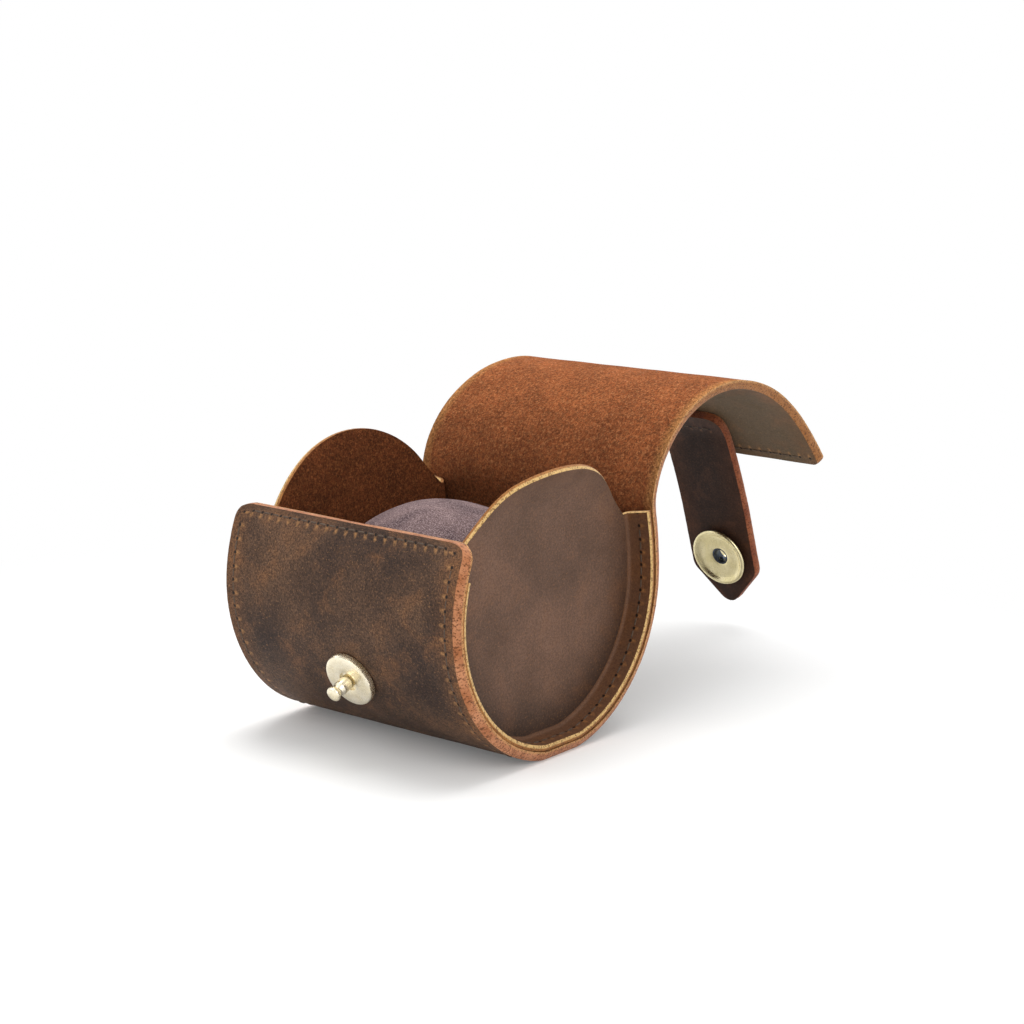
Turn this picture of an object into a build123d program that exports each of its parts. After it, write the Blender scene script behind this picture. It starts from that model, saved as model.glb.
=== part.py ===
"""Watch travel case: a leather roll with a flap lid, a strap with a pull-to-open lock and a watch pillow.

Lengths are millimetres and angles are degrees. X runs along the roll, +Y points to the back and +Z up.
The origin is the middle of the small flat that the roll stands on, right under the roll's axis.
The case is drawn open, as it stands on a table. Leather that bends is a chain of short stiff sections,
joined by round knuckles: a bead at the end of one section turns in a cove at the start of the next.
Angles round the roll's axis are measured from +Y, rising over the top to the front.
"""
from build123d import *
import os
from math import asin, atan2, cos, degrees, radians, sin, sqrt

# Body leather: one strip makes the front wall, the bottom and the back wall.
case_radius = 40.0
case_width = 79.4
leather = 2.4
flat_depth = 0.6
flat_blend = 12.0
front_edge_angle = 150.0
front_corner = 5.5
back_radius = 80.0
back_top_angle = 12.8

# Lid: the same strip carries on past the back wall and hangs over backwards.
lid_heading = 82.5
lid_section_length = 10.4
lid_section_turns = [-21.0, -20.0, -18.0, -16.5, -15.0, -13.5, -12.5, -10.5]
lid_end_length = 17.8
lid_end_turn = -10.0
lid_corner = 2.0
knuckle_gap = 0.18

# End caps: wet-moulded cups whose flange is sewn inside the strip's edges.
cap_leather = 1.5
cap_recess = 7.7
cap_edge_setback = 0.6
sew_gap = 0.1
flange_front_angle = 161.3
flange_back_angle = 11.5
crease_radius = 2.0
disc_inset = 4.6
disc_curl_right = 4.8
disc_curl_left = 1.7

# Strap: sewn on the lid's grain side near its end.
strap_width = 23.0
strap_leather = 2.3
fastening_x = 1.5
strap_root_from_lid_end = 10.0
tab_length = 8.0
strap_section_length = 13.6
strap_headings = [-65.5, -67.5]
strap_section_turns = [-2.0, -4.0]
tip_heading = -72.5
tip_length = 30.4
knob_from_hinge = 14.4
tip_taper = 11.0
tip_round = 4.5

# Stud on the front wall.
stud_angle = 206.7
stud_droop = 22.0
plate_diameter = 14.4
plate_thickness = 2.0
plate_chamfer = 0.6
plate_recess_diameter = 5.2
plate_recess_depth = 0.8
pin_diameter = 3.7
pin_waist_diameter = 2.8
pin_head_diameter = 4.0
pin_waist_start = 3.4
pin_waist_length = 1.2
pin_height = 6.3
pin_shank_diameter = 2.9
pin_dome = 0.9
nut_diameter = 10.0
nut_thickness = 1.2
nut_chamfer = 0.5
nut_stand_off = 1.05
leather_seat_margin = 0.6
stud_seat_lift = 0.02

# Lock on the strap: a riveted base, three balls and a knob that is pulled to let them out.
base_diameter = 12.8
base_thickness = 2.2
base_chamfer = 0.6
bore_lead = 0.3
bore_diameter = 4.3
tube_wall = 0.35
base_collar_wall = 0.4
clamp_diameter = 12.4
clamp_thickness = 0.4
ball_diameter = 1.0
ball_level = 1.5
ball_clearance = 0.08
ball_count = 3
ledge_thickness = 0.4
sleeve_wall = 0.7
sleeve_depth = 0.95
knob_diameter = 17.6
knob_web = 0.45
knob_dish = 0.45
knob_rim = 0.8
knob_sag = 0.06
knob_travel = 0.8
spring_thickness = 0.3
spring_slit = 0.6
tube_flange_thickness = 0.3
slide_gap = 0.06
turn_gap = 0.15

# Watch pillow: a crowned roll with flat ends, foam in a sewn cover.
pillow_diameter = 56.0
pillow_end_diameter = 33.0
pillow_end_round = 4.0
pillow_end_gap = 0.4
pillow_seat_gap = 0.3
cover_thickness = 0.8
foam_gap = 0.1

half_width = case_width / 2
axis_height = case_radius - flat_depth
disc_radius = case_radius - disc_inset
cap_face = half_width - cap_recess
pillow_half = cap_face - cap_leather - pillow_end_gap


def at(y, z, x=0.0):
    """A point given by its place in the side view."""
    return Vector(x, y, z)


def polar(radius, angle, y=0.0, z=axis_height):
    """A side-view point at an angle round a centre, the roll's axis unless another is given."""
    return at(y + radius * cos(radians(angle)), z + radius * sin(radians(angle)))


def forward(heading):
    return Vector(0, cos(radians(heading)), sin(radians(heading)))


def left(heading):
    """The side-view normal on the flesh side of a strip that runs along heading."""
    return Vector(0, -sin(radians(heading)), cos(radians(heading)))


def arc(start, middle, end):
    return ThreePointArc(start, middle, end).edge()


def line(start, end):
    return Line(start, end).edge()


def slab(edges, x_from, x_to):
    """A closed side-view outline, extruded from x_from to x_to."""
    face = Face(Wire(edges))
    return extrude(Pos(x_from, 0, 0) * face, amount=x_to - x_from, dir=(1, 0, 0))


def shell_path(inset, front_angle, back_angle):
    """Edges of the roll's side view, inset from the outside: front edge, flat bottom, back wall."""
    radius = case_radius - inset
    blend = flat_blend - inset
    span = sqrt((case_radius - flat_blend) ** 2 - (axis_height - flat_blend) ** 2)
    dip = degrees(atan2(inset + blend - axis_height, span))
    front_blend = polar(radius, 180 - dip)
    back_blend = polar(radius, dip)
    front_flat = at(-span, inset)
    back_flat = at(span, inset)
    blend_middle = radians((dip - 90) / 2)
    blend_y = span + blend * cos(blend_middle)
    blend_z = inset + blend + blend * sin(blend_middle)
    wall_centre = case_radius - back_radius
    wall_radius = back_radius - inset
    return [
        arc(polar(radius, front_angle), polar(radius, (front_angle + 180 - dip) / 2), front_blend),
        arc(front_blend, at(-blend_y, blend_z), front_flat),
        line(front_flat, back_flat),
        arc(back_flat, at(blend_y, blend_z), back_blend),
        arc(back_blend, polar(radius, dip / 2), polar(radius, 0)),
        arc(polar(radius, 0), polar(wall_radius, back_angle / 2, wall_centre),
            polar(wall_radius, back_angle, wall_centre)),
    ]


def path_ends(edges):
    return edges[0] @ 0, edges[-1] @ 1


def walk(start, heading, length, turn):
    """Where a strip's middle line gets to along an arc."""
    bend = radians(turn)
    chord = length if turn == 0 else length * sin(bend / 2) / (bend / 2)
    return start + forward(heading + turn / 2) * chord


def leather_link(start, heading, length, turn, thickness, width, x, cove=True, bead=True):
    """A stretch of strip along an arc, with a cove at its start and a bead at its end."""
    half = thickness / 2
    middle = walk(start, heading, length / 2, turn / 2)
    end = walk(start, heading, length, turn)
    cove_radius = half + knuckle_gap
    setback = sqrt(cove_radius ** 2 - half ** 2) if cove else 0.0
    first = start + forward(heading) * setback
    flesh_start = first + left(heading) * half
    grain_start = first - left(heading) * half
    flesh_end = end + left(heading + turn) * half
    grain_end = end - left(heading + turn) * half
    if turn == 0:
        flesh = line(flesh_start, flesh_end)
        grain = line(grain_end, grain_start)
    else:
        flesh = arc(flesh_start, middle + left(heading + turn / 2) * half, flesh_end)
        grain = arc(grain_end, middle - left(heading + turn / 2) * half, grain_start)
    if bead:
        cap = arc(flesh_end, end + forward(heading + turn) * half, grain_end)
    else:
        cap = line(flesh_end, grain_end)
    if cove:
        foot = arc(grain_start, start + forward(heading) * cove_radius, flesh_start)
    else:
        foot = line(grain_start, flesh_start)
    return slab([flesh, cap, grain, foot], x - width / 2, x + width / 2)


def round_corners(strip, corner, radius):
    """Rounds the two corners of a strip's end, where corner is the end's middle point."""
    short_edges = strip.edges().filter_by(lambda edge: abs((edge @ 0).X - (edge @ 1).X) < 1e-6)
    nearest = short_edges.sort_by(lambda edge: (at((edge @ 0.5).Y, (edge @ 0.5).Z) - corner).length)
    sides = [nearest.filter_by(lambda edge: (edge @ 0.5).X * sign > 0)[0] for sign in (-1, 1)]
    return fillet(sides, radius)


# Hinge lines, as side-view points in the leather's middle.
lid_root = polar(back_radius - leather / 2, back_top_angle, case_radius - back_radius)


def chain(start, heading, lengths, turns):
    """Start point and heading of each section of a chain, and of the point past its last one."""
    stops = [(start, heading)]
    for length, turn in zip(lengths, turns):
        start = walk(start, heading, length, turn)
        heading = heading + turn
        stops.append((start, heading))
    return stops


lid_lengths = [lid_section_length] * len(lid_section_turns) + [lid_end_length]
lid_turns = lid_section_turns + [lid_end_turn]
lid_stops = chain(lid_root, lid_heading, lid_lengths, lid_turns)


def on_lid_end(distance):
    """Point and heading on the lid's last section, at a distance above the lid's end."""
    share = (lid_end_length - distance) / lid_end_length
    start, heading = lid_stops[-2]
    turn = lid_end_turn * share
    return walk(start, heading, lid_end_length * share, turn), heading + turn


strap_offset = leather / 2 + sew_gap + strap_leather / 2
root_point, root_heading = on_lid_end(strap_root_from_lid_end)
strap_hinges = [root_point - left(root_heading) * strap_offset]
for section_heading, section_turn in zip(strap_headings, strap_section_turns):
    strap_hinges.append(walk(strap_hinges[-1], section_heading, strap_section_length, section_turn))

# Frames of the two halves of the fastening. Local z points out of the leather.
stud_axis = Vector(0, -cos(radians(stud_droop)), -sin(radians(stud_droop)))
stud_foot = polar(case_radius, stud_angle) - at(0, axis_height)
stud_rise = case_radius + stud_seat_lift - stud_foot.dot(stud_axis)
stud_seat = at(0, axis_height, fastening_x) + stud_foot + stud_axis * stud_rise
stud_plane = Plane(origin=stud_seat, x_dir=(1, 0, 0), z_dir=stud_axis)
lock_centre = strap_hinges[-1] + forward(tip_heading) * knob_from_hinge
lock_origin = at(0, 0, fastening_x) + lock_centre + left(tip_heading) * (strap_leather / 2)
lock_plane = Plane(origin=lock_origin, x_dir=(1, 0, 0), z_dir=-left(tip_heading))

pin_reach = plate_thickness + pin_height
nut_seat = -leather - nut_stand_off


def ring(outer, inner, bottom, top):
    """A plain ring round local z, by its diameters."""
    body = extrude(Plane.XY.offset(bottom) * Circle(outer / 2), amount=top - bottom)
    return body - extrude(Plane.XY.offset(bottom) * Circle(inner / 2), amount=top - bottom)


def profile_point(radius, height):
    """A point of a turned outline, in the half-plane through local x and z."""
    return Vector(radius, 0, height)


def polyline(points):
    corners = [profile_point(radius, height) for radius, height in points]
    return [line(start, end) for start, end in zip(corners, corners[1:])]


def bow(first, second, third):
    """An arc of a turned outline through three (radius, height) points."""
    return arc(profile_point(*first), profile_point(*second), profile_point(*third))


def turned(edges):
    """A turned piece: a closed outline of edges, revolved round local z."""
    return revolve(Face(Wire(edges)), Axis.Z)


def body_wrap():
    outer = shell_path(0, front_edge_angle, back_top_angle)
    inner = shell_path(leather, front_edge_angle, back_top_angle)
    outer_front, outer_back = path_ends(outer)
    inner_front, inner_back = path_ends(inner)
    bead_tip = lid_root + forward(90 + back_top_angle) * (leather / 2)
    outline = outer + inner + [line(inner_front, outer_front), arc(outer_back, bead_tip, inner_back)]
    wrap = slab(outline, -half_width, half_width)
    wrap = round_corners(wrap, (outer_front + inner_front) / 2, front_corner)
    seat_radius = plate_diameter / 2 + leather_seat_margin
    seat = extrude(Plane.XY.offset(nut_seat) * Circle(seat_radius), amount=-nut_seat)
    hole_radius = pin_shank_diameter / 2 + slide_gap
    hole = extrude(Plane.XY.offset(nut_seat * 2) * Circle(hole_radius), amount=-nut_seat * 3)
    return wrap + stud_plane * seat - stud_plane * hole


def curled_top(side, curl):
    """The disc's free top, bent outwards by curl at its highest point."""
    start_height = axis_height + free_edge_rise()
    rise = axis_height + disc_radius - start_height
    bend = (rise ** 2 + curl ** 2) / (2 * curl)
    middle_x = cap_face - cap_leather / 2
    centre = Vector(side * (middle_x + bend), 0, start_height)
    arc_angle = degrees(asin(rise / bend)) + 3

    def corner(radius, angle):
        return centre + Vector(-side * radius * cos(radians(angle)), 0, radius * sin(radians(angle)))

    inner = bend - cap_leather / 2
    outer = bend + cap_leather / 2
    outline = [
        arc(corner(inner, 0), corner(inner, arc_angle / 2), corner(inner, arc_angle)),
        line(corner(inner, arc_angle), corner(outer, arc_angle)),
        arc(corner(outer, arc_angle), corner(outer, arc_angle / 2), corner(outer, 0)),
        line(corner(outer, 0), corner(inner, 0)),
    ]
    sheet = extrude(Pos(0, -case_radius, 0) * Face(Wire(outline)), amount=2 * case_radius, dir=(0, 1, 0))
    return sheet & disc_round(side, half_width + curl)


def free_edge_rise():
    """Height of the flange's back end over the axis, where the disc's free edge starts to curl."""
    return (back_radius - leather) * sin(radians(flange_back_angle))


def disc_round(side, reach):
    """A cylinder along X with the disc's radius, from the pillow's side out to reach."""
    start = cap_face - cap_leather
    round_face = Plane.YZ * Pos(0, axis_height) * Circle(disc_radius)
    return extrude(Pos(side * start, 0, 0) * round_face, amount=reach - start, dir=(side, 0, 0))


def cup_space(side, inset, x_from, x_to, crease):
    """The sector of the roll that one face of the flange bounds, rounded by the moulded crease at x_from."""
    path = shell_path(inset, flange_front_angle, flange_back_angle)
    front, back = path_ends(path)
    axis_point = at(0, axis_height)
    outline = path + [line(back, axis_point), line(axis_point, front)]
    sector = slab(outline, min(side * x_from, side * x_to), max(side * x_from, side * x_to))
    crease_centre = at(0, axis_height, side * x_from)

    def on_crease(edge):
        ends = [edge @ 0, edge @ 1]
        in_plane = all(abs(end.X - side * x_from) < 1e-6 for end in ends)
        return in_plane and all((end - crease_centre).length > 1 for end in ends)

    return fillet(sector.edges().filter_by(on_crease), crease)


def end_cap(side, curl):
    start = cap_face - cap_leather
    rim = half_width - cap_edge_setback
    outside = leather + sew_gap
    cup = cup_space(side, outside, start, rim, crease_radius)
    cup -= cup_space(side, outside + cap_leather, cap_face, rim + 1, crease_radius - cap_leather)
    flat = disc_round(side, cap_face)
    above = Pos(0, 0, axis_height + free_edge_rise() + case_radius) * Box(
        4 * case_radius, 4 * case_radius, 2 * case_radius)
    return cup + (flat - above) + curled_top(side, curl)


def lid_section(index):
    start, heading = lid_stops[index]
    last = index == len(lid_section_turns)
    section = leather_link(start, heading, lid_lengths[index], lid_turns[index], leather, case_width, 0,
                           bead=not last)
    return round_corners(section, lid_stops[-1][0], lid_corner) if last else section


def strap_tab():
    """The strap's sewn end, on the grain side of the lid's last section."""
    top_point, top_heading = on_lid_end(strap_root_from_lid_end + tab_length)
    start = top_point - left(top_heading) * strap_offset
    turn = root_heading - top_heading
    length = tab_length - radians(abs(turn)) * strap_offset
    tab = leather_link(start, top_heading, length, turn, strap_leather, strap_width, fastening_x, cove=False)
    return tab


def strap_section(index):
    return leather_link(strap_hinges[index], strap_headings[index], strap_section_length,
                        strap_section_turns[index], strap_leather, strap_width, fastening_x)


def strap_tip():
    """The strap's end, with its rounded point and the hole for the lock."""
    half = strap_width / 2
    shoulder = tip_length - tip_taper
    with BuildSketch() as plan:
        with BuildLine():
            Polyline((-half, 0), (half, 0), (half, shoulder), (0, tip_length + tip_round * 0.35),
                     (-half, shoulder), close=True)
        make_face()
        point = plan.vertices().sort_by(Axis.Y)[-1]
        fillet(point, tip_round)
        fillet(plan.vertices().filter_by(lambda v: abs(v.Y - shoulder) < 1e-6), tip_round)
    tip_origin = strap_hinges[-1] + at(0, 0, fastening_x)
    tip_plane = Plane(origin=tip_origin, x_dir=(1, 0, 0), z_dir=left(tip_heading))
    sheet = extrude(plan.sketch, amount=strap_leather / 2, both=True)
    cove = Rot(0, 90, 0) * Cylinder(strap_leather / 2 + knuckle_gap, strap_width + 2)
    hole_radius = collar_outer() / 2 + slide_gap
    hole = Pos(0, knob_from_hinge, 0) * Cylinder(hole_radius, strap_leather * 3)
    return tip_plane * (sheet - cove - hole)


def tube_outer():
    return bore_diameter + 2 * tube_wall


def ledge_inner():
    return tube_outer() + 2 * slide_gap


def sleeve_outer():
    return sleeve_inner() + 2 * sleeve_wall


def sleeve_inner():
    return tube_flange_diameter() + 2 * turn_gap


def tube_flange_diameter():
    return tube_outer() + 2 * sleeve_depth


def collar_outer():
    return sleeve_outer() + 2 * turn_gap + 2 * base_collar_wall


def ledge_bottom():
    return ball_level - ledge_thickness / 2


def spring_bottom():
    return ledge_bottom() + ledge_thickness + knob_travel + slide_gap


def flange_bottom():
    return spring_bottom() + spring_thickness + slide_gap


def web_bottom():
    return flange_bottom() + tube_flange_thickness + slide_gap


def stud_plate():
    radius = plate_diameter / 2
    recess = plate_recess_diameter / 2
    bore = pin_shank_diameter / 2 + slide_gap
    floor = plate_thickness - plate_recess_depth
    return stud_plane * turned(polyline([
        (bore, 0), (radius, 0), (radius, plate_thickness - plate_chamfer),
        (radius - plate_chamfer, plate_thickness), (recess, plate_thickness), (recess, floor), (bore, floor),
        (bore, 0)]))


def stud_pin():
    shank = pin_shank_diameter / 2
    shaft = pin_diameter / 2
    waist = pin_waist_diameter / 2
    head = pin_head_diameter / 2
    floor = plate_thickness - plate_recess_depth
    waist_bottom = plate_thickness + pin_waist_start
    waist_top = waist_bottom + pin_waist_length
    head_step = (head - waist) * 0.5
    bottom = nut_seat - nut_thickness
    dome_foot = (head, pin_reach - pin_dome)
    side = polyline([
        (0, bottom), (shank, bottom), (shank, floor), (shaft, floor), (shaft, waist_bottom - head_step / 2),
        (waist, waist_bottom), (waist, waist_top), (head, waist_top + head_step), dome_foot])
    dome_radius = (head ** 2 + pin_dome ** 2) / (2 * pin_dome)
    half_way = asin(head / dome_radius) / 2
    dome_middle = (dome_radius * sin(half_way), pin_reach - dome_radius * (1 - cos(half_way)))
    dome = bow(dome_foot, dome_middle, (0, pin_reach))
    return stud_plane * turned(side + [dome] + polyline([(0, pin_reach), (0, bottom)]))


def stud_nut():
    """The round nut on the pin's shank, inside the front wall."""
    bore = pin_shank_diameter / 2 + slide_gap
    radius = nut_diameter / 2
    top = nut_seat
    bottom = nut_seat - nut_thickness
    return stud_plane * turned(polyline([
        (bore, bottom), (radius - nut_chamfer, bottom), (radius, bottom + nut_chamfer), (radius, top),
        (bore, top), (bore, bottom)]))


def lock_base():
    """The riveted base: a flange on the strap's flesh side and the collar that goes through the strap."""
    bore = bore_diameter / 2
    collar = collar_outer() / 2
    collar_bore = collar - base_collar_wall
    collar_top = strap_leather + clamp_thickness
    flange = base_diameter / 2
    back = -base_thickness
    return lock_plane * turned(polyline([
        (bore + bore_lead, back), (flange - base_chamfer, back), (flange, back + base_chamfer), (flange, 0),
        (collar, 0), (collar, collar_top), (collar_bore, collar_top), (collar_bore, 0), (bore, 0),
        (bore, back + bore_lead), (bore + bore_lead, back)]))


def ball_tube():
    """The drilled tube inside the knob's sleeve, with the flange that holds the spring."""
    bore = bore_diameter / 2
    tube = tube_outer() / 2
    top = flange_bottom() + tube_flange_thickness
    body = turned(polyline([
        (bore, 0), (tube, 0), (tube, flange_bottom()), (tube_flange_diameter() / 2, flange_bottom()),
        (tube_flange_diameter() / 2, top), (bore, top), (bore, 0)]))
    hole_radius = ball_diameter / 2 + slide_gap
    drill = Rot(0, 90, 0) * Cylinder(hole_radius, tube * 1.2, align=(Align.CENTER, Align.CENTER, Align.MIN))
    for turn in PolarLocations(0, ball_count):
        body -= turn * Pos(0, 0, ball_level) * drill
    return lock_plane * body


def clamp_ring():
    """The thin ring on the strap's grain side that the base's collar is rolled over."""
    inner = collar_outer() + 2 * slide_gap
    return lock_plane * ring(clamp_diameter, inner, strap_leather, strap_leather + clamp_thickness)


def lock_balls():
    reach = pin_waist_diameter / 2 + ball_clearance + ball_diameter / 2
    ball = Pos(reach, 0, ball_level) * Sphere(ball_diameter / 2)
    balls = [turn * ball for turn in PolarLocations(0, ball_count)]
    return lock_plane * Compound(children=balls)


def lock_spring():
    """The split wave spring that holds the knob down, drawn pressed flat under the tube's flange."""
    inner = tube_outer() + 2 * slide_gap
    outer = sleeve_inner() - 2 * slide_gap
    washer = ring(outer, inner, spring_bottom(), spring_bottom() + spring_thickness)
    slit = Pos(outer / 2, 0, spring_bottom()) * Box(outer / 2, spring_slit, spring_thickness * 3)
    return lock_plane * (washer - slit)


def knob():
    """The dished knob: its sleeve backs the balls until it is pulled."""
    hole = bore_diameter / 2 + slide_gap
    ledge = ledge_inner() / 2
    inner = sleeve_inner() / 2
    outer = sleeve_outer() / 2
    rim = knob_diameter / 2
    under = web_bottom()
    face = under + knob_web
    rim_top = face + knob_dish
    rim_bottom = rim_top - knob_rim
    lip = rim - knob_rim / 2
    middle = (outer + rim) / 2
    ledge_top = ledge_bottom() + ledge_thickness
    flare = bow((outer, under), (middle, under + knob_sag), (lip, rim_bottom))
    edge = bow((lip, rim_bottom), (rim, (rim_bottom + rim_top) / 2), (lip, rim_top))
    dish = bow((lip, rim_top), (middle, face + knob_sag), (outer, face))
    return lock_plane * turned(
        polyline([(ledge, ledge_bottom()), (outer, ledge_bottom()), (outer, under)]) + [flare, edge, dish]
        + polyline([(outer, face), (hole, face), (hole, under), (inner, under), (inner, ledge_top),
                    (ledge, ledge_top), (ledge, ledge_bottom())]))


def pillow_roll(inset):
    """The crowned roll, shrunk by inset all round."""
    half = pillow_half - inset
    crown = pillow_diameter / 2 - inset
    end = pillow_end_diameter / 2 - inset * 0.7
    crown_edge = arc(Vector(-half, 0, end), Vector(0, 0, crown), Vector(half, 0, end))
    box = [line(Vector(half, 0, end), Vector(half, 0, 0)), line(Vector(half, 0, 0), Vector(-half, 0, 0)),
           line(Vector(-half, 0, 0), Vector(-half, 0, end))]
    profile = Face(Wire([crown_edge] + box))
    corners = profile.vertices().filter_by(lambda vertex: vertex.Z > 1)
    profile = profile.fillet_2d(pillow_end_round - inset, corners)
    return Pos(0, 0, leather + pillow_seat_gap + pillow_diameter / 2) * revolve(profile, Axis.X)


def build_nodes():
    nodes = {
        "body_wrap": body_wrap(),
        "left_end_cap": end_cap(-1, disc_curl_left),
        "right_end_cap": end_cap(1, disc_curl_right),
    }
    for index in range(len(lid_lengths)):
        nodes[f"lid_section_{index + 1}"] = lid_section(index)
    nodes["strap_tab"] = strap_tab()
    for index in range(len(strap_headings)):
        nodes[f"strap_section_{index + 1}"] = strap_section(index)
    nodes["strap_tip"] = strap_tip()
    nodes["stud_plate"] = stud_plate()
    nodes["stud_pin"] = stud_pin()
    nodes["stud_nut"] = stud_nut()
    nodes["lock_base"] = lock_base()
    nodes["ball_tube"] = ball_tube()
    nodes["clamp_ring"] = clamp_ring()
    nodes["lock_balls"] = lock_balls()
    nodes["lock_spring"] = lock_spring()
    nodes["knob"] = knob()
    nodes["pillow_cover"] = pillow_roll(0) - pillow_roll(cover_thickness)
    nodes["pillow_foam"] = pillow_roll(cover_thickness + foam_gap)
    return nodes


os.makedirs("parts", exist_ok=True)
for name, shape in build_nodes().items():
    export_step(shape, f"parts/{name}.step")
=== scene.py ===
from math import acos, atan2, cos, exp, hypot, pi, radians, sin, sqrt

import bmesh
import bpy
from mathutils import Matrix, Vector, noise


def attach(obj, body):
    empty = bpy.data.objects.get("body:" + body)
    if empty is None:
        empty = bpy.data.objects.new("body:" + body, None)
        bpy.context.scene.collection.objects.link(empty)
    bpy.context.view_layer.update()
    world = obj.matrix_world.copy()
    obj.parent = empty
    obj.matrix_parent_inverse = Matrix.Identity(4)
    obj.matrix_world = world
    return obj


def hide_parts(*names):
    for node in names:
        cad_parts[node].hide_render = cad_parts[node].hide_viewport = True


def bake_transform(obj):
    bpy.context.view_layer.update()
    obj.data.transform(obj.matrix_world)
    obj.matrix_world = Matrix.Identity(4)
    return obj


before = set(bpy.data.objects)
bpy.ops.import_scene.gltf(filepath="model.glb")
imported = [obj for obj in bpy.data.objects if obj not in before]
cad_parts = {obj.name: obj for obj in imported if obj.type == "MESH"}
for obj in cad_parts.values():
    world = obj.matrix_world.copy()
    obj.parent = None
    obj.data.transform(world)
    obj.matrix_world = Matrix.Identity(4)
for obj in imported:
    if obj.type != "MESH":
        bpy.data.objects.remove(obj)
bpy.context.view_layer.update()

# The photographer's table: a white board that curves out of sight, seen with a long lens from the right and
# a little above. For the camera alone the board fades to white away from the case, and keeps its shadow.
MM = 0.001
scene = bpy.context.scene
scene.view_settings.view_transform = "Standard"


def linear(hex_colour):
    """An sRGB hex colour as linear RGBA."""
    channels = [int(hex_colour[i:i + 2], 16) / 255 for i in (1, 3, 5)]
    return [c / 12.92 if c <= 0.04045 else ((c + 0.055) / 1.055) ** 2.4 for c in channels] + [1.0]


def node(tree, kind, inputs=None, **settings):
    """Adds a shader node. An input is a value, a node (its first output) or a (node, output) pair."""
    made = tree.nodes.new(kind)
    for name, value in settings.items():
        setattr(made, name, value)
    for socket, value in (inputs or {}).items():
        source = (value, 0) if isinstance(value, bpy.types.Node) else value
        if isinstance(source, tuple) and isinstance(source[0], bpy.types.Node):
            tree.links.new(source[0].outputs[source[1]], made.inputs[socket])
        else:
            made.inputs[socket].default_value = source
    return made


def material(name):
    made = bpy.data.materials.new(name)
    made.use_nodes = True
    made.node_tree.nodes.clear()
    return made, made.node_tree


board_white = "#f2f2f1"
board_glow = 0.1
fade_middle = (0.0, -0.04, 0.0)
fade_near = 0.05
fade_far = 0.24
board, tree = material("white_card_board")
camera_ray = node(tree, "ShaderNodeLightPath")
card = node(tree, "ShaderNodeBsdfDiffuse", {"Color": linear(board_white)})
glow = node(tree, "ShaderNodeEmission", {"Color": [1, 1, 1, 1], "Strength": board_glow})
lit_card = node(tree, "ShaderNodeAddShader", {0: card, 1: glow})
board_spot = node(tree, "ShaderNodeNewGeometry")
away = node(tree, "ShaderNodeVectorMath", {0: (board_spot, "Position"), 1: fade_middle}, operation="DISTANCE")
fade = node(tree, "ShaderNodeMapRange", {0: (away, "Value"), 1: fade_near, 2: fade_far, 3: 0.0, 4: 1.0},
            interpolation_type="SMOOTHSTEP")
pure_white = node(tree, "ShaderNodeEmission", {"Color": [1, 1, 1, 1], "Strength": 1.0})
faded_card = node(tree, "ShaderNodeMixShader", {0: fade, 1: lit_card, 2: pure_white})
seen_card = node(tree, "ShaderNodeMixShader", {0: (camera_ray, "Is Camera Ray"), 1: card, 2: faded_card})
node(tree, "ShaderNodeOutputMaterial", {"Surface": seen_card})

board_half = 3.0
floor_mesh = bpy.data.meshes.new("board")
floor_mesh.from_pydata([(-board_half, -board_half, 0), (board_half, -board_half, 0), (board_half, board_half, 0),
                        (-board_half, board_half, 0)], [], [(0, 1, 2, 3)])
floor = bpy.data.objects.new("board", floor_mesh)
scene.collection.objects.link(floor)
floor_mesh.materials.append(board)

room_light = 0.62
world = bpy.data.worlds.new("white_studio")
scene.world = world
world.use_nodes = True
tree = world.node_tree
tree.nodes.clear()
light_path = node(tree, "ShaderNodeLightPath")
seen_white = node(tree, "ShaderNodeMath", {0: (light_path, "Is Camera Ray"), 1: (light_path, "Is Glossy Ray")},
                  operation="MAXIMUM")
room = node(tree, "ShaderNodeBackground", {"Color": [1, 1, 1, 1], "Strength": room_light})
backdrop = node(tree, "ShaderNodeBackground", {"Color": [1, 1, 1, 1], "Strength": 1.0})
either = node(tree, "ShaderNodeMixShader", {0: seen_white, 1: room, 2: backdrop})
node(tree, "ShaderNodeOutputWorld", {"Surface": either})


def softbox(name, place, target, size, watts):
    lamp = bpy.data.lights.new(name, "AREA")
    lamp.shape = "RECTANGLE"
    lamp.size, lamp.size_y = size
    lamp.energy = watts
    holder = bpy.data.objects.new(name, lamp)
    scene.collection.objects.link(holder)
    holder.location = place
    holder.rotation_mode = "QUATERNION"
    holder.rotation_quaternion = (Vector(target) - Vector(place)).to_track_quat("-Z", "Y")


softbox("overhead_softbox", (-0.12, 0.22, 1.1), (0, 0.03, 0.03), (0.9, 0.7), 9.0)
softbox("right_softbox", (1.0, -0.35, 0.6), (0, 0.0, 0.04), (0.7, 0.7), 3.2)
softbox("front_softbox", (-0.5, -1.0, 0.9), (0, 0.0, 0.04), (1.4, 1.0), 4.0)

camera_azimuth = 40.254
camera_elevation = 12.936
camera_roll = -0.413
camera_place = (0.42683, -0.47702, 0.20330)
camera_lens = 90.78
azimuth, elevation, roll = (radians(v) for v in (camera_azimuth, camera_elevation, camera_roll))
backward = Vector((sin(azimuth) * cos(elevation), -cos(azimuth) * cos(elevation), sin(elevation)))
level_right = Vector((cos(azimuth), sin(azimuth), 0))
level_up = backward.cross(level_right)
right_axis = cos(roll) * level_right + sin(roll) * level_up
up_axis = cos(roll) * level_up - sin(roll) * level_right
camera_data = bpy.data.cameras.new("camera")
camera_data.lens = camera_lens
camera_data.sensor_width = 36.0
camera = bpy.data.objects.new("camera", camera_data)
scene.collection.objects.link(camera)
camera.matrix_world = Matrix.Translation(camera_place) @ Matrix((right_axis, up_axis, backward)).transposed().to_4x4()
scene.camera = camera

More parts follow.
